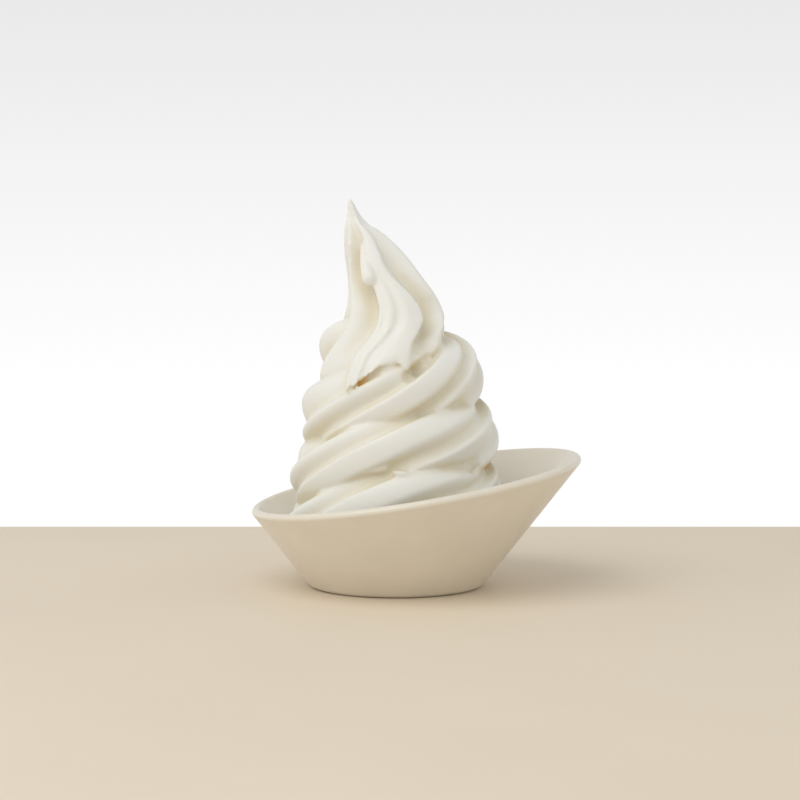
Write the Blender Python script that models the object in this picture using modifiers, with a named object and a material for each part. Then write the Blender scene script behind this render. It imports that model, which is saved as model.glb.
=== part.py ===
"""Frozen yogurt swirl in a small porcelain bowl whose rim slopes up to one side.

The origin is the middle of the foot, on the surface that the bowl stands on. +Z is up, +X points
to the high side of the rim and -Y to the front. Lengths are metres unless a name says millimetres.
"""
import math

import bmesh
import bpy
import numpy as np
from mathutils import Matrix, Vector

MM = 0.001
GAP = 0.3 * MM
SLIVER = 0.003 * MM

# Bowl: a cone-shaped wall of even thickness, cut off by a sloping plane, with a rounded lip.
FOOT_RADIUS = 34.4 * MM
FOOT_BEVEL = 2.2 * MM
WALL_LEAN = math.radians(38.0)
WALL_THICKNESS = 3.6 * MM
RIM_HEIGHT = 39.3 * MM
RIM_TILT = math.radians(9.0)
LIP_BEVEL = 1.7 * MM
LIP_ANGLE, FOOT_ANGLE = 70, 45
SHARP_ANGLE = math.radians(40.0)
BOWL_SEGMENTS = 64
CONE_TOP = 80.0 * MM
CAVITY_TOP = 200.0 * MM

# Swirl: a rope of yogurt with a grooved section, wound anticlockwise up the bowl's axis, and a crown
# over its end. Lengths here are millimetres and angles are degrees.
COIL_PITCH = 23.7
COIL_BASE = 10.6
COIL_TILT = 2.2
FRONT_LIFT = 11.5
FIRST_TURN, CROWN_TURN = -0.6, 3.5
ROPE_HALF_WIDTH, ROPE_HALF_HEIGHT = 15.3, 16.0
ROPE_SQUARENESS = 2.3
ROW_STEP = 0.1
# Reach of the rope from the axis at some turns.
REACH = ((-0.6, 34.0), (0.0, 44.0), (0.5, 46.0), (1.0, 43.5), (2.0, 41.0), (3.5, 31.3))

# Angle of the main crest around the rope at some turns. It winds about once in each coil.
CREST_ANGLE = ((-0.6, -430.0), (0.51, -25.0), (0.75, 45.0), (0.94, 100.0), (1.51, 323.0), (1.75, 394.0),
               (1.94, 460.0), (2.51, 655.0), (2.75, 728.0), (2.94, 820.0), (3.51, 1015.0))

# Grooves of the rope's section, from its top down its outside: angle from the main crest, depth as a
# share of the rope, and how far the groove reaches softly up and steeply down.
GROOVES = (
    (53.0, 0.20, 48.0, 12.0),
    (8.0, 0.18, 28.0, 8.0),
    (-55.0, 0.23, 22.0, 16.0),
    (-110.0, 0.20, 45.0, 12.0),
    (-171.0, 0.20, 45.0, 12.0),
    (-240.0, 0.20, 48.0, 12.0),
)

# End of the rope, where it thins out inside the crown. Each row: place along the rope, turn, reach,
# half width, half height, centre height and angle of the crest.
ROPE_END = (
    (3.58, 3.58, 27.0, 13.5, 14.0, 95.0, 1040.0),
    (3.66, 3.66, 17.0, 9.0, 9.0, 97.0, 1070.0),
    (3.80, 3.80, 8.0, 4.0, 4.0, 99.0, 1110.0),
)

# Crown: a bell drawn out into a leaning tip, in sloping rings from inside its hem up to the tip.
# Each row: height, x and y of the middle, half width, half depth, slope up to +X and crest angle.
# The row numbered HEM is the bell's lower edge.
HEM = 2
CROWN = (
    (84.0, -3.0, -1.0, 13.0, 14.0, 16.0, 240.0),
    (92.0, -5.6, -3.7, 21.0, 25.6, 16.0, 240.0),
    (91.0, -6.0, -4.0, 24.6, 30.0, 16.0, 240.0),
    (93.2, -5.4, -4.0, 25.6, 29.6, 15.0, 241.0),
    (96.5, -4.8, -4.0, 25.4, 27.8, 14.0, 243.0),
    (99.5, -3.6, -4.0, 24.4, 25.8, 12.0, 246.0),
    (103.0, -2.3, -3.7, 22.6, 23.9, 9.5, 250.0),
    (107.6, -1.1, -3.0, 20.8, 22.0, 6.5, 253.5),
    (112.0, -1.1, -2.7, 19.3, 20.3, 4.0, 254.5),
    (117.0, -1.9, -2.3, 17.9, 18.4, 2.0, 252.0),
    (124.0, -4.5, -1.5, 15.7, 15.6, 0.0, 250.0),
    (134.0, -9.1, -0.9, 11.7, 11.2, 0.0, 258.0),
    (141.4, -13.3, -0.5, 7.3, 7.0, 0.0, 270.0),
    (144.5, -15.6, -0.3, 4.7, 4.5, 0.0, 276.0),
    (148.2, -16.8, 0.0, 2.7, 2.6, 0.0, 276.0),
    (152.4, -17.9, 0.0, 1.5, 1.4, 0.0, 276.0),
    (154.6, -18.2, 0.0, 0.5, 0.5, 0.0, 276.0),
)

# Grooves of the crown, each with a row for its hem, bell, shoulder, neck and tip: angle from the
# main crest, depth as a share of the ring, reach before and after, and softness of its edges.
CROWN_PLACES = (91.0, 105.0, 117.0, 130.0, 145.0)
CROWN_GROOVES = (
    ((-8.0, 0.22, 34.0, 8.0, 1.4), (-9.0, 0.30, 32.0, 9.0, 1.3), (-15.0, 0.36, 28.0, 15.0, 1.0),
     (-24.0, 0.42, 26.0, 23.0, 0.5), (-26.0, 0.42, 26.0, 25.0, 0.5)),
    ((12.0, 0.05, 5.0, 12.0, 1.0), (20.0, 0.05, 4.0, 12.0, 1.0), (20.0, 0.05, 4.0, 10.0, 1.0),
     (16.0, 0.0, 4.0, 8.0, 1.0), (16.0, 0.0, 4.0, 8.0, 1.0)),
    ((67.0, 0.10, 15.0, 18.0, 1.0), (68.0, 0.32, 16.0, 18.0, 1.0), (62.0, 0.38, 17.0, 22.0, 0.9),
     (45.0, 0.42, 20.0, 38.0, 0.8), (42.0, 0.40, 18.0, 40.0, 0.8)),
    ((112.0, 0.12, 22.0, 22.0, 1.1),) * 5,
    ((152.0, 0.18, 22.0, 25.0, 1.1),) * 5,
    ((200.0, 0.18, 22.0, 25.0, 1.1),) * 5,
    ((247.0, 0.18, 22.0, 25.0, 1.1),) * 5,
    ((292.0, 0.16, 20.0, 24.0, 1.1),) * 5,
)
# Tongues that hang from the hem: angle from the main crest, length, and reach before and after.
# They flare out by a share of their length and fade over a number of rows of the crown.
TONGUES = (
    (0.0, 7.0, 4.0, 30.0),
    (56.0, 6.5, 12.0, 30.0),
    (94.0, 3.5, 24.0, 22.0),
    (118.0, 3.0, 25.0, 12.0),
)
TONGUE_FLARE, TONGUE_RISE = 0.5, 2.0

# Strands that the tap left: a drip on the neck and the blunt end of the crest under the hem. Each
# row of a strand: x, y, z and radius, in millimetres.
STRANDS = (
    ((-13.4, -7.4, 137.0, 0.8), (-12.8, -10.4, 131.5, 1.4), (-11.6, -13.6, 127.4, 2.3),
     (-10.5, -15.6, 124.0, 2.9), (-9.6, -16.8, 120.8, 1.4)),
    ((-15.0, -28.0, 83.0, 1.0), (-9.0, -29.4, 86.4, 2.0), (-4.5, -30.2, 89.4, 2.6),
     (-1.8, -30.6, 91.2, 2.5), (0.2, -31.0, 90.8, 1.5)),
)
STRAND_RINGS, STRAND_POINTS = 16, 12

RINGS_PER_TURN = 60
POINTS_PER_RING = 120
CROWN_RINGS = 100
CORE_HEIGHT = 100.0 * MM
CORE_FOOT_RADIUS, CORE_TOP_RADIUS = 24.0 * MM, 8.0 * MM
VOXEL = 1.5 * MM
KEEP_FACES = 0.165


def spline(table, places):
    """Smooth values of a table of keys, one row for each place asked for."""
    keys = np.array(table)
    at, values = keys[:, 0], keys[:, 1:]
    rate = np.diff(values, axis=0) / np.diff(at)[:, None]
    steady = rate[1:] * rate[:-1] > 0
    mean = 2 * rate[1:] * rate[:-1] / np.where(steady, rate[1:] + rate[:-1], 1)
    slope = np.vstack([rate[:1], np.where(steady, mean, 0), rate[-1:]])
    key = np.clip(np.searchsorted(at, places) - 1, 0, len(at) - 2)
    width = (at[key + 1] - at[key])[:, None]
    s = (np.asarray(places)[:, None] - at[key, None]) / width
    start = (1 + 2 * s) * (1 - s) ** 2 * values[key] + s * (1 - s) ** 2 * width * slope[key]
    end = s**2 * (3 - 2 * s) * values[key + 1] - s**2 * (1 - s) * width * slope[key + 1]
    return start + end


def coil_rows():
    """Rows like those of ROPE_END, for the plain coils before it."""
    turns = np.arange(FIRST_TURN, CROWN_TURN + ROW_STEP / 2, ROW_STEP)
    angle = 2 * np.pi * turns
    reach = spline(REACH, turns)[:, 0]
    front = np.clip(-np.sin(angle), 0, 1) ** 2 * np.clip(1 - turns / CROWN_TURN, 0, 1)
    height = COIL_BASE + COIL_PITCH * turns + COIL_TILT * np.cos(angle) + FRONT_LIFT * front
    crest = spline(CREST_ANGLE, turns)[:, 0]
    even = np.ones_like(turns)
    return np.stack([turns, turns, reach, ROPE_HALF_WIDTH * even, ROPE_HALF_HEIGHT * even,
                     height, crest], 1)


def press(off, depth, before, after):
    """Depth of a groove at angles off its floor, rising softly before it and steeply after it."""
    soft = np.cos(np.pi / 2 * np.clip(off / before, 0, 1)) ** 2
    steep = np.cos(np.pi / 2 * np.clip(-off / after, 0, 1))
    return depth * np.where(off > 0, soft, steep)


def unit(vectors):
    """Rows of vectors, each at a length of one."""
    return vectors / np.linalg.norm(vectors, axis=1)[:, None]


def turned(angle):
    """Angles in degrees, brought to within half a turn of nought."""
    return (angle + 180) % 360 - 180


def share(off, before, after):
    """How far off its middle a place is, from 0 there to 1 at its reach before and after."""
    return np.clip(np.abs(off) / np.where(off < 0, before, after), 0, 1)


def hollow(off, before, after):
    """Round profile of a groove: 1 at its floor and 0 at its edges."""
    return np.cos(np.pi / 2 * share(off, before, after))


def tongue(off, before, after):
    """Pointed profile of a tongue: 1 at its tip and 0 at its ends."""
    return 1 - share(off, before, after)


def rope_rings():
    """Rings of points around the rope, from its start in the bowl to its end inside the crown."""
    keys = np.vstack([coil_rows(), ROPE_END])
    last = keys[-1, 0]
    places = np.linspace(FIRST_TURN, last, round((last - FIRST_TURN) * RINGS_PER_TURN))
    turn, reach, half_width, half_height, height, crest = spline(keys, places).T
    angle, level = 2 * np.pi * turn, np.zeros_like(turn)
    side = np.stack([np.cos(angle), np.sin(angle), level], 1)
    centre = side * (reach - half_width)[:, None] + np.stack([level, level, height], 1)
    psi = np.linspace(-np.pi, np.pi, POINTS_PER_RING, endpoint=False)[None, :]
    squareness = np.abs(np.cos(psi)) ** ROPE_SQUARENESS + np.abs(np.sin(psi)) ** ROPE_SQUARENESS
    pressed = np.zeros((len(places), POINTS_PER_RING))
    for at, *shape in GROOVES:
        pressed = np.maximum(pressed, press(turned(np.degrees(psi) - crest[:, None] - at), *shape))
    size = (1 - pressed) * squareness ** (-1 / ROPE_SQUARENESS)
    across = (np.cos(psi) * size * half_width[:, None])[..., None] * side[:, None]
    above = (np.sin(psi) * size * half_height[:, None])[..., None] * np.array([0.0, 0.0, 1.0])
    return (centre[:, None] + across + above) * MM


def crown_rings():
    """Rings of points around the crown, from inside its hem up to the tip."""
    keys = [(index, *row) for index, row in enumerate(CROWN)]
    places = np.linspace(0, len(CROWN) - 1, CROWN_RINGS)
    height, x, y, half_width, half_depth, slope, crest = spline(keys, places).T[:, :, None]
    theta = np.linspace(0, 2 * np.pi, POINTS_PER_RING, endpoint=False)[None, :]
    off = np.degrees(theta) - crest
    pressed = 0 * off
    within = np.clip(height[:, 0], CROWN_PLACES[0], CROWN_PLACES[-1])
    for groove in CROWN_GROOVES:
        rows = spline([(z, *row) for z, row in zip(CROWN_PLACES, groove)], within).T[:, :, None]
        at, depth, before, after, softness = rows
        pressed = np.maximum(pressed, depth * hollow(turned(off - at), before, after) ** softness)
    hang = np.clip(1 - np.abs(places[:, None] - HEM) / TONGUE_RISE, 0, 1)
    drop = 0 * off
    for at, length, before, after in TONGUES:
        drop += length * hang * tongue(turned(off - at), before, after)
    size = 1 - pressed + TONGUE_FLARE * drop / half_depth
    across, deep = np.cos(theta) * half_width * size, np.sin(theta) * half_depth * size
    rise = across * np.tan(np.radians(slope)) - drop
    return np.stack([x + across, y + deep, height + rise], 2) * MM


def strand_rings(rows):
    """Rings of points around one tapered strand."""
    keys = [(index, *row) for index, row in enumerate(rows)]
    path = spline(keys, np.linspace(0, len(rows) - 1, STRAND_RINGS))
    along = unit(np.gradient(path[:, :3], axis=0))
    first = unit(np.cross(along, (1.0, 0.0, 0.0)))
    second = np.cross(along, first)
    turn = np.linspace(0, 2 * np.pi, STRAND_POINTS, endpoint=False)[None, :, None]
    ring = np.cos(turn) * first[:, None] + np.sin(turn) * second[:, None]
    return (path[:, None, :3] + ring * path[:, None, 3:]) * MM


def loft(bm, rings):
    """Skin a row of rings of points into a closed tube with flat ends."""
    loops = [[bm.verts.new(point) for point in ring] for ring in rings]
    for low, high in zip(loops, loops[1:]):
        for point in range(len(low)):
            after = (point + 1) % len(low)
            bm.faces.new((low[point], low[after], high[after], high[point]))
    bm.faces.new(reversed(loops[0]))
    bm.faces.new(loops[-1])


def material(name, colour, roughness):
    """A Principled BSDF material of one colour."""
    made = bpy.data.materials.new(name)
    made.use_nodes = True
    shader = made.node_tree.nodes['Principled BSDF']
    shader.inputs['Base Color'].default_value = (*colour, 1.0)
    shader.inputs['Roughness'].default_value = roughness
    return made


def new_object(name, bm, collection):
    """Turn a bmesh into an object in a collection."""
    mesh = bpy.data.meshes.new(name)
    bm.to_mesh(mesh)
    bm.free()
    made = bpy.data.objects.new(name, mesh)
    collection.objects.link(made)
    return made


def wall_radius(height, inset):
    """Radius of the cone-shaped wall at a height, measured inset from its outer face."""
    return FOOT_RADIUS + height * math.tan(WALL_LEAN) - inset / math.cos(WALL_LEAN)


def cone(bm, bottom, top, bottom_radius, top_radius):
    """Add an upright cone to a bmesh, from one height to another."""
    middle = Matrix.Translation((0, 0, (bottom + top) / 2))
    bmesh.ops.create_cone(bm, cap_ends=True, segments=BOWL_SEGMENTS, radius1=bottom_radius,
                          radius2=top_radius, depth=top - bottom, matrix=middle)


def round_edges(solid, name, width, segments, sharper_than):
    """Round the edges of a solid that turn by more than an angle in degrees."""
    bevel = solid.modifiers.new(name, 'BEVEL')
    bevel.width = width
    bevel.segments = segments
    bevel.limit_method = 'ANGLE'
    bevel.angle_limit = math.radians(sharper_than)


def make_bowl(collection):
    """The bowl: a cone cut by the rim's plane, thickened inwards, with its lip rounded."""
    bm = bmesh.new()
    cone(bm, 0, CONE_TOP, FOOT_RADIUS, wall_radius(CONE_TOP, 0))
    slope = Vector((-math.sin(RIM_TILT), 0, math.cos(RIM_TILT)))
    bmesh.ops.bisect_plane(bm, geom=bm.verts[:] + bm.edges[:] + bm.faces[:], dist=SLIVER,
                           plane_co=(0, 0, RIM_HEIGHT), plane_no=slope, clear_outer=True)
    bowl = new_object('bowl', bm, collection)
    shell = bowl.modifiers.new('wall', 'SOLIDIFY')
    shell.thickness = WALL_THICKNESS
    shell.offset = -1
    shell.use_even_offset = True
    round_edges(bowl, 'lip', LIP_BEVEL, 4, LIP_ANGLE)
    round_edges(bowl, 'foot', FOOT_BEVEL, 2, FOOT_ANGLE)
    bowl.data.materials.append(material('porcelain', (0.80, 0.76, 0.68), 0.25))
    bowl.data.shade_smooth()
    bowl.data.set_sharp_from_angle(angle=SHARP_ANGLE)
    return bowl


def make_cavity(collection):
    """Cutter: the inside of the bowl, continued upwards, a small gap clear of its wall."""
    bm = bmesh.new()
    inset = WALL_THICKNESS + GAP
    cone(bm, inset, CAVITY_TOP, wall_radius(inset, inset), wall_radius(CAVITY_TOP, inset))
    cavity = new_object('cavity', bm, collection)
    round_edges(cavity, 'foot', FOOT_BEVEL, 2, FOOT_ANGLE)
    cavity.hide_render = True
    cavity.display_type = 'WIRE'
    return cavity


def make_yogurt(collection, cavity):
    """The swirl: rope, crown, strands and core, fused into one body that fits the bowl."""
    bm = bmesh.new()
    for rings in (rope_rings(), crown_rings(), *(strand_rings(rows) for rows in STRANDS)):
        loft(bm, rings)
    cone(bm, 0, CORE_HEIGHT, CORE_FOOT_RADIUS, CORE_TOP_RADIUS)
    yogurt = new_object('frozen_yogurt', bm, collection)
    fuse = yogurt.modifiers.new('fuse', 'REMESH')
    fuse.mode = 'VOXEL'
    fuse.voxel_size = VOXEL
    fuse.use_smooth_shade = True
    fewer = yogurt.modifiers.new('fewer faces', 'DECIMATE')
    fewer.ratio = KEEP_FACES
    fit = yogurt.modifiers.new('fit the bowl', 'BOOLEAN')
    fit.operation = 'INTERSECT'
    fit.object = cavity
    fit.solver = 'EXACT'
    yogurt.data.materials.append(material('frozen yogurt', (0.86, 0.84, 0.75), 0.45))
    return yogurt


def main():
    """Clear the scene and build the bowl and the swirl in it."""
    for old in list(bpy.data.objects):
        bpy.data.objects.remove(old)
    parts = bpy.data.collections.new('frozen yogurt bowl')
    cutters = bpy.data.collections.new('cutters')
    for collection in (parts, cutters):
        bpy.context.scene.collection.children.link(collection)
    make_bowl(parts)
    make_yogurt(parts, make_cavity(cutters))


main()
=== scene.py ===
"""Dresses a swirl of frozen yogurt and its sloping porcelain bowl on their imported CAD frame.

Lengths are metres unless a name says otherwise. +Z is up, +X points to the high side of the bowl's
rim and -Y to the front.
"""
import math

import bpy
import numpy as np
from bpy.props import FloatProperty, FloatVectorProperty, IntProperty, PointerProperty
from bpy.types import Operator, Panel, PropertyGroup
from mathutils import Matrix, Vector
from mathutils.bvhtree import BVHTree
from mathutils.kdtree import KDTree


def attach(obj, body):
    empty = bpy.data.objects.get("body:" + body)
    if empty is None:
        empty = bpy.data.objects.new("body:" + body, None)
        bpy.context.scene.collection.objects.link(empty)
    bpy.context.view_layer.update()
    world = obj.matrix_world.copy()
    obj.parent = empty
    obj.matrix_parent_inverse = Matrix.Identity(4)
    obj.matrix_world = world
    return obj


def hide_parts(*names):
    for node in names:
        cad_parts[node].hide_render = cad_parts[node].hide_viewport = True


bl_info = {
    "name": "Frozen Yogurt Bowl",
    "version": (1, 0, 0),
    "blender": (4, 5, 0),
    "location": "3D View > Sidebar > Dessert",
    "description": "Builds a swirl of frozen yogurt in a sloping porcelain bowl",
    "category": "Add Mesh",
}

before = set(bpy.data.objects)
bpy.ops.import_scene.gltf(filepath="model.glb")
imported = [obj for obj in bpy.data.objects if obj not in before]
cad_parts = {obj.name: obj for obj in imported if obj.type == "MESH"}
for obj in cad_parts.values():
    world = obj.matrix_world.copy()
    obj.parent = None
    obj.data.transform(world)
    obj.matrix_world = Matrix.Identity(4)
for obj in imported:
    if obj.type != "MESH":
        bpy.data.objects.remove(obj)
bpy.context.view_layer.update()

MM = 0.001
GAP = 0.3 * MM
BODY = "root"

# Bowl: a cone-shaped wall of even thickness, cut off by a sloping plane.
BOWL_SEGMENTS = 192
CONE_TOP = 80.0 * MM
LIP_SEGMENTS, FOOT_SEGMENTS = 10, 5
LIP_ANGLE, FOOT_ANGLE, SHARP_ANGLE = math.radians(70), math.radians(45), math.radians(35)
FOOT_BEVEL = 2.2 * MM
FOOT_RING, FOOT_RECESS = 4.0 * MM, 1.0 * MM

# Swirl: a rope of yogurt with a grooved section, wound anticlockwise up the bowl's axis.
# The lengths of the rope are millimetres, and angles around its section are degrees.
COIL_PITCH = 23.7
COIL_BASE = 10.6
COIL_TILT = 2.2
FRONT_LIFT = 11.5
FIRST_TURN, CROWN_TURN = -0.6, 3.5
ROPE_HALF_WIDTH, ROPE_HALF_HEIGHT = 15.3, 16.0
ROPE_SQUARENESS = 2.3
ROW_STEP = 0.1
# Reach of the rope from the axis at some turns.
REACH = ((-0.6, 34.0), (0.0, 44.0), (0.5, 46.0), (1.0, 43.5), (2.0, 41.0), (3.5, 31.3))
# Angle of the main crest around the rope at some turns. It winds about once in each coil.
CREST_ANGLE = ((-0.6, -430.0), (0.51, -25.0), (0.75, 45.0), (0.94, 100.0), (1.51, 323.0), (1.75, 394.0),
               (1.94, 460.0), (2.51, 655.0), (2.75, 728.0), (2.94, 820.0), (3.51, 1015.0))

# Grooves of the rope's section, from its top down its outside: angle from the main crest, depth as a
# share of the rope, and how far the groove reaches softly up and steeply down.
GROOVES = (
    (53.0, 0.20, 48.0, 12.0),
    (8.0, 0.18, 28.0, 8.0),
    (-55.0, 0.23, 22.0, 16.0),
    (-110.0, 0.20, 45.0, 12.0),
    (-171.0, 0.20, 45.0, 12.0),
    (-240.0, 0.20, 48.0, 12.0),
)

# End of the rope, where it thins out inside the crown. Each row: place along the rope, turn, reach,
# half width, half height, centre height and angle of the crest.
ROPE_END = (
    (3.58, 3.58, 27.0, 13.5, 14.0, 95.0, 1040.0),
    (3.66, 3.66, 17.0, 9.0, 9.0, 97.0, 1070.0),
    (3.80, 3.80, 8.0, 4.0, 4.0, 99.0, 1110.0),
)

# Crown: a bell drawn out into a leaning tip, in sloping rings from inside its hem up to the tip.
# Each row: height, x and y of the middle, half width, half depth, slope up to +X and crest angle.
# The row numbered HEM is the bell's lower edge.
HEM = 2
CROWN = (
    (84.0, -3.0, -1.0, 13.0, 14.0, 16.0, 240.0),
    (92.0, -5.6, -3.7, 21.0, 25.6, 16.0, 240.0),
    (91.0, -6.0, -4.0, 24.6, 30.0, 16.0, 240.0),
    (93.2, -5.4, -4.0, 25.6, 29.6, 15.0, 241.0),
    (96.5, -4.8, -4.0, 25.4, 27.8, 14.0, 243.0),
    (99.5, -3.6, -4.0, 24.4, 25.8, 12.0, 246.0),
    (103.0, -2.3, -3.7, 22.6, 23.9, 9.5, 250.0),
    (107.6, -1.1, -3.0, 20.8, 22.0, 6.5, 253.5),
    (112.0, -1.1, -2.7, 19.3, 20.3, 4.0, 254.5),
    (117.0, -1.9, -2.3, 17.9, 18.4, 2.0, 252.0),
    (124.0, -4.5, -1.5, 15.7, 15.6, 0.0, 250.0),
    (134.0, -9.1, -0.9, 11.7, 11.2, 0.0, 258.0),
    (141.4, -13.3, -0.5, 7.3, 7.0, 0.0, 270.0),
    (144.5, -15.6, -0.3, 4.7, 4.5, 0.0, 276.0),
    (148.2, -16.8, 0.0, 2.7, 2.6, 0.0, 276.0),
    (152.4, -17.9, 0.0, 1.5, 1.4, 0.0, 276.0),
    (154.6, -18.2, 0.0, 0.5, 0.5, 0.0, 276.0),
)

# Grooves of the crown, each with a row for its hem, bell, shoulder, neck and tip: angle from the
# main crest, depth as a share of the ring, reach before and after, and softness of its edges.
CROWN_PLACES = (91.0, 105.0, 117.0, 130.0, 145.0)
CROWN_GROOVES = (
    ((-8.0, 0.22, 34.0, 8.0, 1.4), (-9.0, 0.30, 32.0, 9.0, 1.3), (-15.0, 0.36, 28.0, 15.0, 1.0),
     (-24.0, 0.42, 26.0, 23.0, 0.5), (-26.0, 0.42, 26.0, 25.0, 0.5)),
    ((5.0, 0.03, 2.5, 4.0, 1.0), (5.0, 0.03, 2.5, 4.0, 1.0), (5.0, 0.02, 3.0, 4.0, 1.0),
     (5.0, 0.0, 3.0, 4.0, 1.0), (5.0, 0.0, 3.0, 4.0, 1.0)),
    ((12.0, 0.05, 5.0, 12.0, 1.0), (20.0, 0.05, 4.0, 12.0, 1.0), (20.0, 0.05, 4.0, 10.0, 1.0),
     (16.0, 0.0, 4.0, 8.0, 1.0), (16.0, 0.0, 4.0, 8.0, 1.0)),
    ((67.0, 0.10, 15.0, 18.0, 1.0), (68.0, 0.32, 16.0, 18.0, 1.0), (62.0, 0.38, 17.0, 22.0, 0.9),
     (45.0, 0.42, 20.0, 38.0, 0.8), (42.0, 0.40, 18.0, 40.0, 0.8)),
    ((112.0, 0.12, 22.0, 22.0, 1.1),) * 5,
    ((152.0, 0.18, 22.0, 25.0, 1.1),) * 5,
    ((200.0, 0.18, 22.0, 25.0, 1.1),) * 5,
    ((247.0, 0.18, 22.0, 25.0, 1.1),) * 5,
    ((292.0, 0.16, 20.0, 24.0, 1.1),) * 5,
)
# Tongues that hang from the hem: angle from the main crest, length, and reach before and after.
# They flare out by a share of their length and fade over a number of rows of the crown.
TONGUES = (
    (0.0, 7.0, 4.0, 30.0),
    (56.0, 6.5, 12.0, 30.0),
    (94.0, 3.5, 24.0, 22.0),
    (118.0, 3.0, 25.0, 12.0),
)
TONGUE_FLARE, TONGUE_RISE = 0.5, 2.0

# Strands that the tap left: a drip on the neck and the blunt ends of three crests. Each row of a
# strand: x, y, z and radius, in millimetres.
STRANDS = (
    ((-13.4, -7.4, 137.0, 0.8), (-12.8, -10.4, 131.5, 1.4), (-11.6, -13.6, 127.4, 2.3),
     (-10.5, -15.6, 124.0, 2.9), (-9.6, -16.8, 120.8, 1.4)),
    ((-15.0, -28.0, 83.0, 1.0), (-9.0, -29.4, 86.4, 2.0), (-4.5, -30.2, 89.4, 2.6),
     (-1.8, -30.6, 91.2, 2.5), (0.2, -31.0, 90.8, 1.5)),
    ((-14.0, -37.2, 49.5, 0.6), (-8.0, -38.0, 51.0, 1.3), (-4.2, -38.2, 51.8, 1.5),
     (-3.0, -38.0, 51.4, 0.8)),
    ((-1.5, -40.3, 50.6, 0.8), (2.0, -40.8, 50.1, 1.1), (5.5, -40.8, 49.9, 0.5)),
)
# Dents beside those ends, each along a line: x, y and z of its two ends, radius and depth.
DENTS = (
    (5.0, -32.5, 87.0, 12.0, -24.5, 93.0, 3.0, 5.5),
    (27.0, -29.0, 49.6, 36.0, -17.5, 52.4, 4.0, 2.4),
)
STRAND_RINGS, STRAND_POINTS = 60, 24

RINGS_PER_TURN = 110
POINTS_PER_RING = 240
CROWN_RINGS = 260
FLOW_PER_HEIGHT = 0.03
CORE_HEIGHT = 100.0 * MM
CORE_FOOT_RADIUS, CORE_TOP_RADIUS = 24.0 * MM, 8.0 * MM
CAVITY_TOP = 200.0 * MM

# How enclosed a place on the yogurt is, felt along a bundle of rays; it is the mask of the yogurt's
# painted shade.
RECESS_RAYS, RECESS_REACH = 20, 16.0 * MM
RECESS_SMOOTHING = 3

# Stage
CAMERA_PLACE = (1.6 * MM, -1461.8 * MM, 231.5 * MM)
CAMERA_DIP = math.radians(6.1376)
CAMERA_LENS = 166.5
TABLE_HALF_WIDTH, TABLE_BACK, TABLE_FRONT, TABLE_THICKNESS = 0.8, 0.165, -0.8, 0.025
SOFT_LIGHT_PLACE, SOFT_LIGHT_SIZE = (-0.5, -0.6, 1.1), 1.2
SOFT_LIGHT_AIM = (0.0, 0.0, 0.08)


# ---------------------------------------------------------------- working with Blender's tools

def deselect():
    """Leave nothing selected."""
    bpy.ops.object.select_all(action="DESELECT")


def pick(piece):
    """Make one object the only selected one, and the active one."""
    deselect()
    piece.select_set(True)
    bpy.context.view_layer.objects.active = piece


def added(name):
    """The object that an operator just added, under its own name."""
    piece = bpy.context.view_layer.objects.active
    piece.name = name
    piece.data.name = name
    return piece


def add_modifier(piece, name, kind, **values):
    """Add a modifier with its values and apply it at once."""
    modifier = piece.modifiers.new(name, kind)
    for key, value in values.items():
        setattr(modifier, key, value)
    pick(piece)
    bpy.ops.object.modifier_apply(modifier=modifier.name)


def select_only(piece, faces):
    """Go into edit mode on a piece with only some of its faces selected."""
    pick(piece)
    bpy.ops.object.mode_set(mode="EDIT")
    bpy.ops.mesh.select_all(action="DESELECT")
    bpy.ops.object.mode_set(mode="OBJECT")
    for face in faces:
        piece.data.polygons[face].select = True
    bpy.ops.object.mode_set(mode="EDIT")


def settle(piece):
    """Put the object's place, turn and size into its mesh."""
    pick(piece)
    bpy.ops.object.transform_apply(location=True, rotation=True, scale=True)


def join(pieces):
    """Join pieces into the first of them."""
    deselect()
    for piece in pieces:
        piece.select_set(True)
    bpy.context.view_layer.objects.active = pieces[0]
    bpy.ops.object.join()
    return pieces[0]


def dress(piece, material, node):
    """Give a finished piece its material and let it stand for a CAD node."""
    piece.data.materials.clear()
    piece.data.materials.append(material)
    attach(piece, BODY)
    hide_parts(node)


def wall_radius(bowl, height, inset):
    """Radius of the bowl's wall at a height, measured inset from its outer face."""
    return bowl.foot_radius + height * math.tan(bowl.wall_lean) - inset / math.cos(bowl.wall_lean)


def add_cone(name, bottom, top, bottom_radius, top_radius, segments):
    """An upright capped cone from one height to another, with its place in its mesh."""
    deselect()
    bpy.ops.mesh.primitive_cone_add(vertices=segments, radius1=bottom_radius, radius2=top_radius,
                                    depth=top - bottom, location=(0, 0, (bottom + top) / 2))
    piece = added(name)
    settle(piece)
    return piece


# ---------------------------------------------------------------- shape of the swirl

def spline(table, places):
    """Smooth values of a table of keys, one row for each place asked for."""
    keys = np.array(table)
    at, values = keys[:, 0], keys[:, 1:]
    rate = np.diff(values, axis=0) / np.diff(at)[:, None]
    steady = rate[1:] * rate[:-1] > 0
    mean = 2 * rate[1:] * rate[:-1] / np.where(steady, rate[1:] + rate[:-1], 1)
    slope = np.vstack([rate[:1], np.where(steady, mean, 0), rate[-1:]])
    key = np.clip(np.searchsorted(at, places) - 1, 0, len(at) - 2)
    width = (at[key + 1] - at[key])[:, None]
    s = (np.asarray(places)[:, None] - at[key, None]) / width
    start = (1 + 2 * s) * (1 - s) ** 2 * values[key] + s * (1 - s) ** 2 * width * slope[key]
    end = s**2 * (3 - 2 * s) * values[key + 1] - s**2 * (1 - s) * width * slope[key + 1]
    return start + end


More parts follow.
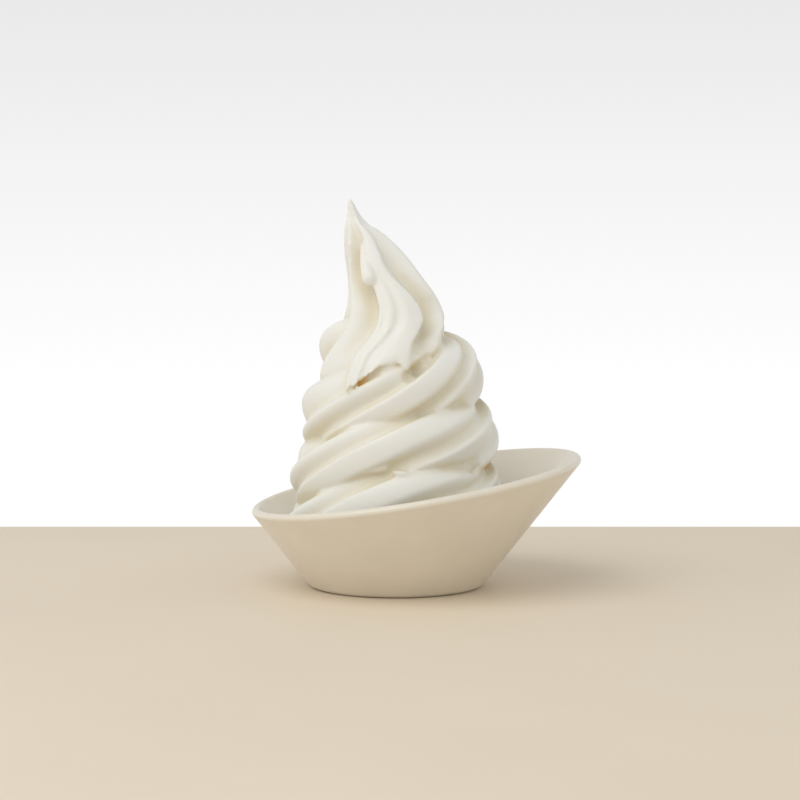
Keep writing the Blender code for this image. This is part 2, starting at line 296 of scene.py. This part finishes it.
def coil_rows():
    """Rows like those of ROPE_END, for the plain coils before it."""
    turns = np.arange(FIRST_TURN, CROWN_TURN + ROW_STEP / 2, ROW_STEP)
    angle = 2 * np.pi * turns
    reach = spline(REACH, turns)[:, 0]
    front = np.clip(-np.sin(angle), 0, 1) ** 2 * np.clip(1 - turns / CROWN_TURN, 0, 1)
    height = COIL_BASE + COIL_PITCH * turns + COIL_TILT * np.cos(angle) + FRONT_LIFT * front
    crest = spline(CREST_ANGLE, turns)[:, 0]
    even = np.ones_like(turns)
    return np.stack([turns, turns, reach, ROPE_HALF_WIDTH * even, ROPE_HALF_HEIGHT * even,
                     height, crest], 1)


def press(off, depth, before, after):
    """Depth of a groove at angles off its floor, rising softly before it and steeply after it."""
    soft = np.cos(np.pi / 2 * np.clip(off / before, 0, 1)) ** 2
    steep = np.cos(np.pi / 2 * np.clip(-off / after, 0, 1))
    return depth * np.where(off > 0, soft, steep)


def unit(vectors):
    """Rows of vectors, each at a length of one."""
    return vectors / np.linalg.norm(vectors, axis=1)[:, None]


def turned(angle):
    """Angles in degrees, brought to within half a turn of nought."""
    return (angle + 180) % 360 - 180


def share(off, before, after):
    """How far off its middle a place is, from 0 there to 1 at its reach before and after."""
    return np.clip(np.abs(off) / np.where(off < 0, before, after), 0, 1)


def hollow(off, before, after):
    """Round profile of a groove: 1 at its floor and 0 at its edges."""
    return np.cos(np.pi / 2 * share(off, before, after))


def tongue(off, before, after):
    """Pointed profile of a tongue: 1 at its tip and 0 at its ends."""
    return 1 - share(off, before, after)


def rope_rings(ridge_depth):
    """Rings of points around the rope, from its start in the bowl to its end inside the crown.

    The second result says where each point is in the flow of the rope, for streaks along it.
    """
    keys = np.vstack([coil_rows(), ROPE_END])
    last = keys[-1, 0]
    places = np.linspace(FIRST_TURN, last, round((last - FIRST_TURN) * RINGS_PER_TURN))
    turn, reach, half_width, half_height, height, crest = spline(keys, places).T
    angle, level = 2 * np.pi * turn, np.zeros_like(turn)
    side = np.stack([np.cos(angle), np.sin(angle), level], 1)
    centre = side * (reach - half_width)[:, None] + np.stack([level, level, height], 1)
    psi = np.linspace(-np.pi, np.pi, POINTS_PER_RING, endpoint=False)[None, :]
    squareness = np.abs(np.cos(psi)) ** ROPE_SQUARENESS + np.abs(np.sin(psi)) ** ROPE_SQUARENESS
    pressed = np.zeros((len(places), POINTS_PER_RING))
    for at, *shape in GROOVES:
        pressed = np.maximum(pressed, press(turned(np.degrees(psi) - crest[:, None] - at), *shape))
    size = (1 - ridge_depth * pressed) * squareness ** (-1 / ROPE_SQUARENESS)
    across = (np.cos(psi) * size * half_width[:, None])[..., None] * side[:, None]
    above = (np.sin(psi) * size * half_height[:, None])[..., None] * np.array([0.0, 0.0, 1.0])
    strand = psi - np.radians(crest)[:, None]
    flow = np.stack([np.cos(strand), np.sin(strand), 0 * strand + places[:, None]], 2)
    return (centre[:, None] + across + above) * MM, flow


def crown_rings(ridge_depth):
    """Rings of points around the crown, from inside its hem up to the tip, and their flow."""
    keys = [(index, *row) for index, row in enumerate(CROWN)]
    places = np.linspace(0, len(CROWN) - 1, CROWN_RINGS)
    height, x, y, half_width, half_depth, slope, crest = spline(keys, places).T[:, :, None]
    theta = np.linspace(0, 2 * np.pi, POINTS_PER_RING, endpoint=False)[None, :]
    off = np.degrees(theta) - crest
    pressed = 0 * off
    within = np.clip(height[:, 0], CROWN_PLACES[0], CROWN_PLACES[-1])
    for groove in CROWN_GROOVES:
        rows = spline([(z, *row) for z, row in zip(CROWN_PLACES, groove)], within).T[:, :, None]
        at, depth, before, after, softness = rows
        pressed = np.maximum(pressed, depth * hollow(turned(off - at), before, after) ** softness)
    hang = np.clip(1 - np.abs(places[:, None] - HEM) / TONGUE_RISE, 0, 1)
    drop = 0 * off
    for at, length, before, after in TONGUES:
        drop += length * hang * tongue(turned(off - at), before, after)
    size = 1 - ridge_depth * pressed + TONGUE_FLARE * drop / half_depth
    across, deep = np.cos(theta) * half_width * size, np.sin(theta) * half_depth * size
    rise = across * np.tan(np.radians(slope)) - drop
    strand = np.radians(off)
    flow = np.stack([np.cos(strand), np.sin(strand), 0 * strand + height * FLOW_PER_HEIGHT], 2)
    return np.stack([x + across, y + deep, height + rise], 2) * MM, flow


def strand_rings(rows):
    """Rings of points around one tapered strand."""
    keys = [(index, *row) for index, row in enumerate(rows)]
    path = spline(keys, np.linspace(0, len(rows) - 1, STRAND_RINGS))
    along = unit(np.gradient(path[:, :3], axis=0))
    first = unit(np.cross(along, (1.0, 0.0, 0.0)))
    second = np.cross(along, first)
    turn = np.linspace(0, 2 * np.pi, STRAND_POINTS, endpoint=False)[None, :, None]
    ring = np.cos(turn) * first[:, None] + np.sin(turn) * second[:, None]
    return (path[:, None, :3] + ring * path[:, None, 3:]) * MM


def roll_up(name, rings):
    """A flat grid rolled up into a closed tube through rings of points."""
    count, around = rings.shape[:2]
    deselect()
    bpy.ops.mesh.primitive_grid_add(x_subdivisions=around, y_subdivisions=count - 1, size=1)
    tube = added(name)
    closed = np.concatenate([rings, rings[:, :1]], 1)
    tube.data.vertices.foreach_set("co", closed.astype(np.float32).ravel())
    settle(tube)
    bpy.ops.object.mode_set(mode="EDIT")
    bpy.ops.mesh.select_all(action="SELECT")
    bpy.ops.mesh.remove_doubles(threshold=1e-7)
    bpy.ops.mesh.fill_holes(sides=0)
    bpy.ops.mesh.select_all(action="SELECT")
    bpy.ops.mesh.normals_make_consistent(inside=False)
    bpy.ops.object.mode_set(mode="OBJECT")
    return tube


def press_dents(piece):
    """Press the dents into the piece, along its own normals."""
    places, normals = vertex_table(piece, "co", 3), vertex_table(piece, "normal", 3)
    for dent in np.array(DENTS) * MM:
        start, length, (radius, depth) = dent[:3], dent[3:6] - dent[:3], dent[6:]
        along = np.clip((places - start) @ length / (length @ length), 0, 1)
        off = ((places - start - along[:, None] * length) ** 2).sum(1)
        near = np.clip(1 - off / radius**2, 0, 1) * np.sin(np.pi * np.clip(along, 0.15, 0.85))
        places = places - normals * (depth * near**1.5)[:, None]
    piece.data.vertices.foreach_set("co", places.astype(np.float32).ravel())
    settle(piece)


# ---------------------------------------------------------------- attributes of the swirl

def vertex_table(piece, name, width):
    """A vertex property such as co or normal, as an array with one row for each vertex."""
    values = np.empty(len(piece.data.vertices) * width, np.float32)
    piece.data.vertices.foreach_get(name, values)
    return values.reshape(-1, width)


def neighbour_mean(piece, values, rounds):
    """Values averaged with those of their neighbours along the edges, a number of times."""
    edges = np.empty(len(piece.data.edges) * 2, np.int32)
    piece.data.edges.foreach_get("vertices", edges)
    one, other = edges.reshape(-1, 2).T
    count = np.bincount(one, minlength=len(values)) + np.bincount(other, minlength=len(values))
    for _ in range(rounds):
        total = np.bincount(one, values[other], len(values))
        total += np.bincount(other, values[one], len(values))
        values = (values + total / np.maximum(count, 1)) / 2
    return values


def ray_bundle(count):
    """Directions spread over the half sphere about +Z, closer together near the pole."""
    step = np.arange(count) + 0.5
    height = np.sqrt(1 - step / count)
    turn = step * math.pi * (3 - math.sqrt(5))
    level = np.sqrt(1 - height**2)
    return np.stack([level * np.cos(turn), level * np.sin(turn), height], 1)


def measure_recess(piece):
    """Store how enclosed each vertex is: 0 in the open and 1 deep in a gap. It masks the yogurt's painted
    shade.
    """
    places, normals = vertex_table(piece, "co", 3), vertex_table(piece, "normal", 3)
    helper = np.where(np.abs(normals[:, :1]) > 0.7, (0.0, 1.0, 0.0), (1.0, 0.0, 0.0))
    first = unit(np.cross(helper, normals))
    second = np.cross(normals, first)
    piece.data.calc_loop_triangles()
    triangles = np.empty(len(piece.data.loop_triangles) * 3, np.int32)
    piece.data.loop_triangles.foreach_get("vertices", triangles)
    tree = BVHTree.FromPolygons(places.tolist(), triangles.reshape(-1, 3).tolist())
    painted_shade_mask = np.zeros(len(places))
    starts = [Vector(start) for start in places + normals * 0.2 * MM]
    for ray in ray_bundle(RECESS_RAYS):
        ways = first * ray[0] + second * ray[1] + normals * ray[2]
        for index, way in enumerate(ways.tolist()):
            distance = tree.ray_cast(starts[index], Vector(way), RECESS_REACH)[3]
            if distance is not None:
                painted_shade_mask[index] += 1 - distance / RECESS_REACH
    painted_shade_mask = neighbour_mean(piece, painted_shade_mask / RECESS_RAYS, RECESS_SMOOTHING)
    stored = piece.data.attributes.new("painted_shade_mask", "FLOAT", "POINT")
    stored.data.foreach_set("value", painted_shade_mask.astype(np.float32))


def carry_flow(piece, points, flow):
    """Store where each vertex is in the flow of the yogurt, from the nearest of the flow's points."""
    points, flow = points[::2], flow[::2]
    tree = KDTree(len(points))
    for index, point in enumerate(points.tolist()):
        tree.insert(point, index)
    tree.balance()
    nearest = [tree.find(place)[1] for place in vertex_table(piece, "co", 3).tolist()]
    stored = piece.data.attributes.new("flow", "FLOAT_VECTOR", "POINT")
    stored.data.foreach_set("vector", flow[nearest].astype(np.float32).ravel())


# ---------------------------------------------------------------- materials

def start_material(name):
    """A new node material: its tree and its Principled shader."""
    material = bpy.data.materials.new(name)
    material.use_nodes = True
    return material, material.node_tree, material.node_tree.nodes["Principled BSDF"]


def fine_grain_group():
    """Node group: faint uneven patches and a fine bump on a piece's own coordinates."""
    group = bpy.data.node_groups.new("fine grain", "ShaderNodeTree")
    for name, kind, default in (("Vector", "NodeSocketVector", None), ("Scale", "NodeSocketFloat", 200.0),
                                ("Strength", "NodeSocketFloat", 0.1)):
        socket = group.interface.new_socket(name, in_out="INPUT", socket_type=kind)
        if default is not None:
            socket.default_value = default
    group.interface.new_socket("Mask", in_out="OUTPUT", socket_type="NodeSocketFloat")
    group.interface.new_socket("Normal", in_out="OUTPUT", socket_type="NodeSocketVector")
    nodes, links = group.nodes, group.links
    given, made = nodes.new("NodeGroupInput"), nodes.new("NodeGroupOutput")
    noise = nodes.new("ShaderNodeTexNoise")
    noise.inputs["Detail"].default_value = 4.0
    bump = nodes.new("ShaderNodeBump")
    bump.inputs["Distance"].default_value = 0.1 * MM
    links.new(given.outputs["Vector"], noise.inputs["Vector"])
    links.new(given.outputs["Scale"], noise.inputs["Scale"])
    links.new(noise.outputs["Fac"], bump.inputs["Height"])
    links.new(given.outputs["Strength"], bump.inputs["Strength"])
    links.new(noise.outputs["Fac"], made.inputs["Mask"])
    links.new(bump.outputs["Normal"], made.inputs["Normal"])
    return group


def add_grain(tree, coordinates, scale, strength):
    """Place the fine grain group in a material."""
    node = tree.nodes.new("ShaderNodeGroup")
    node.node_tree = bpy.data.node_groups.get("fine grain") or fine_grain_group()
    node.inputs["Scale"].default_value = scale
    node.inputs["Strength"].default_value = strength
    tree.links.new(coordinates, node.inputs["Vector"])
    return node


def ramp(tree, value, stops):
    """A colour ramp over a value, from pairs of position and colour."""
    node = tree.nodes.new("ShaderNodeValToRGB")
    elements = node.color_ramp.elements
    while len(elements) < len(stops):
        elements.new(1.0)
    for element, (position, colour) in zip(elements, stops):
        element.position = position
        element.color = (*colour, 1.0)
    tree.links.new(value, node.inputs["Fac"])
    return node.outputs["Color"]


def porcelain(settings):
    """Ivory porcelain under a clear glaze."""
    material, tree, shader = start_material("glazed porcelain")
    place = tree.nodes.new("ShaderNodeTexCoord").outputs["Object"]
    grain = add_grain(tree, place, 60.0, 0.05)
    body = tuple(settings.colour)
    shade = tuple(0.96 * part for part in body)
    tree.links.new(ramp(tree, grain.outputs["Mask"], ((0.35, shade), (0.65, body))),
                   shader.inputs["Base Color"])
    tree.links.new(grain.outputs["Normal"], shader.inputs["Normal"])
    shader.inputs["Roughness"].default_value = settings.roughness
    shader.inputs["Specular IOR Level"].default_value = 0.4
    shader.inputs["Coat Weight"].default_value = 0.6
    shader.inputs["Coat Roughness"].default_value = 0.12
    return material


def soft_yogurt(swirl):
    """Satin frozen yogurt with painted shade: warmer and yellower the deeper a place lies between the
    coils, standing in for shade and for light scattered through the yogurt.
    """
    material, tree, shader = start_material("frozen yogurt")
    painted_shade_mask = tree.nodes.new("ShaderNodeAttribute")
    painted_shade_mask.attribute_name = "painted_shade_mask"
    open_colour, painted_deep_shade_colour = tuple(swirl.colour), tuple(swirl.painted_deep_shade_colour)
    painted_shade = tuple(swirl.painted_shade_colour)
    # Painted shade: by how enclosed a place is, the colour ramps from the open colour to the painted shade
    # of the grooves and then to a painted warm glow deep between the coils.
    stops = ((0.02, open_colour), (0.20, painted_shade), (0.48, painted_shade), (0.70, painted_deep_shade_colour))
    tree.links.new(ramp(tree, painted_shade_mask.outputs["Fac"], stops), shader.inputs["Base Color"])
    flow = tree.nodes.new("ShaderNodeAttribute")
    flow.attribute_name = "flow"
    stretch = tree.nodes.new("ShaderNodeMapping")
    stretch.inputs["Scale"].default_value = (1.0, 1.0, 0.35)
    tree.links.new(flow.outputs["Vector"], stretch.inputs["Vector"])
    streaks = add_grain(tree, stretch.outputs["Vector"], 14.0, 0.25)
    tree.links.new(streaks.outputs["Normal"], shader.inputs["Normal"])
    shader.inputs["Roughness"].default_value = swirl.roughness
    shader.inputs["Specular IOR Level"].default_value = 0.35
    shader.subsurface_method = "RANDOM_WALK"
    shader.inputs["Subsurface Weight"].default_value = 0.2
    shader.inputs["Subsurface Radius"].default_value = (1.0, 0.8, 0.4)
    shader.inputs["Subsurface Scale"].default_value = 1.0 * MM
    return material


def plain_matt(name, colour, roughness):
    """A plain matt stage material with a faint grain."""
    material, tree, shader = start_material(name)
    place = tree.nodes.new("ShaderNodeTexCoord").outputs["Object"]
    grain = add_grain(tree, place, 8.0, 0.0)
    low = tuple(0.97 * part for part in colour)
    tree.links.new(ramp(tree, grain.outputs["Mask"], ((0.3, low), (0.7, tuple(colour)))),
                   shader.inputs["Base Color"])
    shader.inputs["Roughness"].default_value = roughness
    return material


# ---------------------------------------------------------------- settings

class BowlSettings(PropertyGroup):
    """Sizes and finish of the bowl."""
    foot_radius: FloatProperty(name="Foot radius", description="Radius of the bowl's foot",
                               default=34.4 * MM, min=0.01, unit="LENGTH")
    wall_lean: FloatProperty(name="Wall lean", description="How far the wall leans out from upright",
                             default=math.radians(38.0), subtype="ANGLE")
    wall_thickness: FloatProperty(name="Wall thickness", description="Thickness of the wall",
                                  default=3.6 * MM, min=0.001, unit="LENGTH")
    rim_height: FloatProperty(name="Rim height", description="Height of the rim over the middle",
                              default=39.3 * MM, min=0.01, unit="LENGTH")
    rim_tilt: FloatProperty(name="Rim tilt", description="Slope of the rim, up towards +X",
                            default=math.radians(9.0), subtype="ANGLE")
    lip_radius: FloatProperty(name="Lip radius", description="Rounding of the lip",
                              default=1.7 * MM, min=0.0, unit="LENGTH")
    colour: FloatVectorProperty(name="Porcelain", description="Colour of the glazed porcelain",
                                default=(0.79, 0.735, 0.625), subtype="COLOR", min=0.0, max=1.0)
    roughness: FloatProperty(name="Roughness", description="Roughness under the clear glaze",
                             default=0.38, min=0.0, max=1.0)


class SwirlSettings(PropertyGroup):
    """Detail and finish of the frozen yogurt, and the colours of its painted shade."""
    voxel: FloatProperty(name="Detail", description="Size of the finest detail of the surface",
                         default=0.75 * MM, min=0.0003, unit="LENGTH")
    ridge_depth: FloatProperty(name="Ridge depth", description="Depth of the grooves, 1 as modelled",
                               default=1.0, min=0.0, max=2.0)
    smoothing: IntProperty(name="Smoothing", description="Rounds of smoothing after fusing",
                           default=1, min=0, max=10)
    colour: FloatVectorProperty(name="Yogurt", description="Colour of the yogurt in the open",
                                default=(0.82, 0.82, 0.775), subtype="COLOR", min=0.0, max=1.0)
    # Painted shade: the colour put into the grooves in place of their shade.
    painted_shade_colour: FloatVectorProperty(name="Shaded yogurt", description="Colour down in the grooves",
                                      default=(0.76, 0.715, 0.58), subtype="COLOR", min=0.0, max=1.0)
    # Painted shade and glow: the warm orange put deep between the coils in place of shade and light
    # scattered through the yogurt.
    painted_deep_shade_colour: FloatVectorProperty(name="Deep yogurt", description="Colour deep between the coils",
                                     default=(0.86, 0.58, 0.18), subtype="COLOR", min=0.0, max=1.0)
    roughness: FloatProperty(name="Roughness", description="Roughness of the yogurt's surface",
                             default=0.42, min=0.0, max=1.0)


class StageSettings(PropertyGroup):
    """Colours and light of the stage."""
    table_colour: FloatVectorProperty(name="Table", description="Colour of the plain table top",
                                      default=(0.80, 0.70, 0.56), subtype="COLOR", min=0.0, max=1.0)
    soft_light: FloatProperty(name="Soft light", description="Power of the large soft light",
                              default=7.5, min=0.0, unit="POWER")
    room_light: FloatProperty(name="Room light", description="Strength of the light all around",
                              default=1.0, min=0.0)
    overhead: FloatProperty(name="Overhead", description="Light from above as a share of that around",
                            default=0.62, min=0.0, max=1.0)
    front: FloatProperty(name="Front", description="Light from in front as a share of that from the sides",
                         default=0.72, min=0.0, max=1.0)


# ---------------------------------------------------------------- operators

class DESSERT_OT_bowl(Operator):
    """Build the glazed bowl with its sloping rim"""
    bl_idname = "dessert.bowl"
    bl_label = "Bowl"

    def execute(self, context):
        bowl = context.scene.dessert_bowl
        piece = add_cone("glazed_bowl", 0, CONE_TOP, bowl.foot_radius,
                         wall_radius(bowl, CONE_TOP, 0), BOWL_SEGMENTS)
        bpy.ops.object.mode_set(mode="EDIT")
        bpy.ops.mesh.select_all(action="SELECT")
        bpy.ops.mesh.bisect(plane_co=(0, 0, bowl.rim_height), clear_outer=True,
                            plane_no=(-math.sin(bowl.rim_tilt), 0, math.cos(bowl.rim_tilt)))
        bpy.ops.object.mode_set(mode="OBJECT")
        add_modifier(piece, "wall", "SOLIDIFY", thickness=bowl.wall_thickness, offset=-1,
                     use_even_offset=True)
        add_modifier(piece, "lip", "BEVEL", width=bowl.lip_radius, segments=LIP_SEGMENTS,
                     limit_method="ANGLE", angle_limit=LIP_ANGLE)
        add_modifier(piece, "foot", "BEVEL", width=FOOT_BEVEL, segments=FOOT_SEGMENTS,
                     limit_method="ANGLE", angle_limit=FOOT_ANGLE)
        self.hollow_foot(piece)
        pick(piece)
        bpy.ops.object.shade_smooth_by_angle(angle=SHARP_ANGLE)
        dress(piece, porcelain(bowl), "bowl")
        return {"FINISHED"}

    def hollow_foot(self, piece):
        """Press the middle of the underside up, so that the bowl stands on a ring."""
        under = min(piece.data.polygons, key=lambda face: (face.center.z, -face.area)).index
        select_only(piece, [under])
        bpy.ops.mesh.inset(thickness=FOOT_RING)
        bpy.ops.mesh.inset(thickness=FOOT_RECESS)
        bpy.ops.transform.translate(value=(0, 0, FOOT_RECESS))
        bpy.ops.object.mode_set(mode="OBJECT")


class DESSERT_OT_swirl(Operator):
    """Build the swirl of frozen yogurt that fills the bowl"""
    bl_idname = "dessert.swirl"
    bl_label = "Swirl"

    def execute(self, context):
        swirl, bowl = context.scene.dessert_swirl, context.scene.dessert_bowl
        rings, flow = rope_rings(swirl.ridge_depth)
        rope = roll_up("soft_swirl", rings)
        core = add_cone("core", 0, CORE_HEIGHT, CORE_FOOT_RADIUS, CORE_TOP_RADIUS, 64)
        crown_points, crown_flow = crown_rings(swirl.ridge_depth)
        crown = roll_up("crown", crown_points)
        strands = [roll_up("strand", strand_rings(rows)) for rows in STRANDS]
        piece = join([rope, core, crown, *strands])
        add_modifier(piece, "fuse", "REMESH", mode="VOXEL", voxel_size=swirl.voxel)
        add_modifier(piece, "soften", "SMOOTH", factor=0.5, iterations=swirl.smoothing)
        press_dents(piece)
        self.fit_bowl(piece, bowl)
        pick(piece)
        bpy.ops.object.shade_smooth()
        points = np.vstack([part.reshape(-1, 3) for part in (rings, crown_points)])
        carry_flow(piece, points, np.vstack([part.reshape(-1, 3) for part in (flow, crown_flow)]))
        # Mask of the painted shade.
        measure_recess(piece)
        dress(piece, soft_yogurt(swirl), "frozen_yogurt")
        return {"FINISHED"}

    def fit_bowl(self, piece, bowl):
        """Keep only what lies inside the bowl, a small gap clear of its wall."""
        inset = bowl.wall_thickness + GAP
        cavity = add_cone("cavity", inset, CAVITY_TOP, wall_radius(bowl, inset, inset),
                          wall_radius(bowl, CAVITY_TOP, inset), BOWL_SEGMENTS)
        add_modifier(piece, "fit", "BOOLEAN", operation="INTERSECT", object=cavity, solver="MANIFOLD")
        bpy.data.objects.remove(cavity)


class DESSERT_OT_stage(Operator):
    """Build the plain table, the soft light and the camera"""
    bl_idname = "dessert.stage"
    bl_label = "Stage"

    def execute(self, context):
        stage = context.scene.dessert_stage
        self.table(stage)
        self.soft_light(stage)
        self.room(context.scene, stage)
        self.camera(context.scene)
        context.scene.view_settings.view_transform = "Standard"
        return {"FINISHED"}

    def table(self, stage):
        """A plain pale slab under the bowl."""
        deselect()
        bpy.ops.mesh.primitive_cube_add(size=1, location=(0, (TABLE_BACK + TABLE_FRONT) / 2,
                                                          -TABLE_THICKNESS / 2))
        table = added("table")
        table.scale = (2 * TABLE_HALF_WIDTH, TABLE_BACK - TABLE_FRONT, TABLE_THICKNESS)
        settle(table)
        table.data.materials.append(plain_matt("pale table", stage.table_colour, 0.6))

    def soft_light(self, stage):
        """One large soft light from the upper left, in front."""
        bpy.ops.object.light_add(type="AREA", location=SOFT_LIGHT_PLACE)
        light = added("soft light")
        light.data.size = SOFT_LIGHT_SIZE
        light.data.energy = stage.soft_light
        way = Vector(SOFT_LIGHT_AIM) - Vector(SOFT_LIGHT_PLACE)
        light.rotation_euler = way.to_track_quat("-Z", "Y").to_euler()

    def room(self, scene, stage):
        """White all around, a little greyer upwards behind the piece."""
        world = bpy.data.worlds.new("room")
        scene.world = world
        world.use_nodes = True
        tree = world.node_tree
        background = tree.nodes["Background"]
        shown = tree.nodes.new("ShaderNodeBackground")
        way = tree.nodes.new("ShaderNodeSeparateXYZ")
        tree.links.new(tree.nodes.new("ShaderNodeTexCoord").outputs["Generated"], way.inputs[0])
        lift = tree.nodes.new("ShaderNodeMapRange")
        lift.inputs["From Min"].default_value = -0.10
        lift.inputs["From Max"].default_value = 0.0
        tree.links.new(way.outputs["Z"], lift.inputs["Value"])
        backdrop = ((0.0, (1.0, 1.0, 1.0)), (1.0, (0.82, 0.82, 0.82)))
        tree.links.new(ramp(tree, lift.outputs["Result"], backdrop), shown.inputs["Color"])
        aside = tree.nodes.new("ShaderNodeMath")
        aside.operation = "ABSOLUTE"
        tree.links.new(way.outputs["X"], aside.inputs[0])
        light = tree.nodes.new("ShaderNodeMix")
        light.data_type, light.blend_type = "RGBA", "MULTIPLY"
        light.inputs["Factor"].default_value = 1.0
        white = (1.0, 0.99, 0.97)
        tree.links.new(ramp(tree, aside.outputs["Value"], ((0.0, 3 * (stage.front,)), (1.0, white))),
                       light.inputs["A"])
        tree.links.new(ramp(tree, way.outputs["Z"], ((0.0, white), (1.0, 3 * (stage.overhead,)))),
                       light.inputs["B"])
        tree.links.new(light.outputs["Result"], background.inputs["Color"])
        background.inputs["Strength"].default_value = stage.room_light
        mix = tree.nodes.new("ShaderNodeMixShader")
        seen = tree.nodes.new("ShaderNodeLightPath")
        tree.links.new(seen.outputs["Is Camera Ray"], mix.inputs["Fac"])
        tree.links.new(background.outputs["Background"], mix.inputs[1])
        tree.links.new(shown.outputs["Background"], mix.inputs[2])
        tree.links.new(mix.outputs["Shader"], tree.nodes["World Output"].inputs["Surface"])

    def camera(self, scene):
        """A long lens, a little above the rim."""
        bpy.ops.object.camera_add(location=CAMERA_PLACE, rotation=(math.pi / 2 - CAMERA_DIP, 0, 0))
        camera = added("camera")
        camera.data.lens = CAMERA_LENS
        camera.data.clip_start = 0.05
        scene.camera = camera


class DESSERT_PT_sidebar(Panel):
    """The dessert's tools and settings"""
    bl_label = "Frozen Yogurt Bowl"
    bl_idname = "DESSERT_PT_sidebar"
    bl_space_type = "VIEW_3D"
    bl_region_type = "UI"
    bl_category = "Dessert"

    def draw(self, context):
        for operator, settings in STEPS:
            box = self.layout.box()
            box.operator(operator)
            group = getattr(context.scene, settings)
            for name in group.__annotations__:
                box.prop(group, name)


STEPS = (
    (DESSERT_OT_bowl.bl_idname, "dessert_bowl"),
    (DESSERT_OT_swirl.bl_idname, "dessert_swirl"),
    (DESSERT_OT_stage.bl_idname, "dessert_stage"),
)
SETTINGS = {"dessert_bowl": BowlSettings, "dessert_swirl": SwirlSettings, "dessert_stage": StageSettings}
CLASSES = (*SETTINGS.values(), DESSERT_OT_bowl, DESSERT_OT_swirl, DESSERT_OT_stage, DESSERT_PT_sidebar)


def register():
    """Register the classes and the scene's settings."""
    for made in CLASSES:
        bpy.utils.register_class(made)
    for name, group in SETTINGS.items():
        setattr(bpy.types.Scene, name, PointerProperty(type=group))


def unregister():
    """Undo register."""
    for name in SETTINGS:
        delattr(bpy.types.Scene, name)
    for made in reversed(CLASSES):
        bpy.utils.unregister_class(made)


def main():
    """Build everything in order."""
    register()
    bpy.ops.dessert.bowl()
    bpy.ops.dessert.swirl()
    bpy.ops.dessert.stage()


if __name__ == "__main__":
    main()
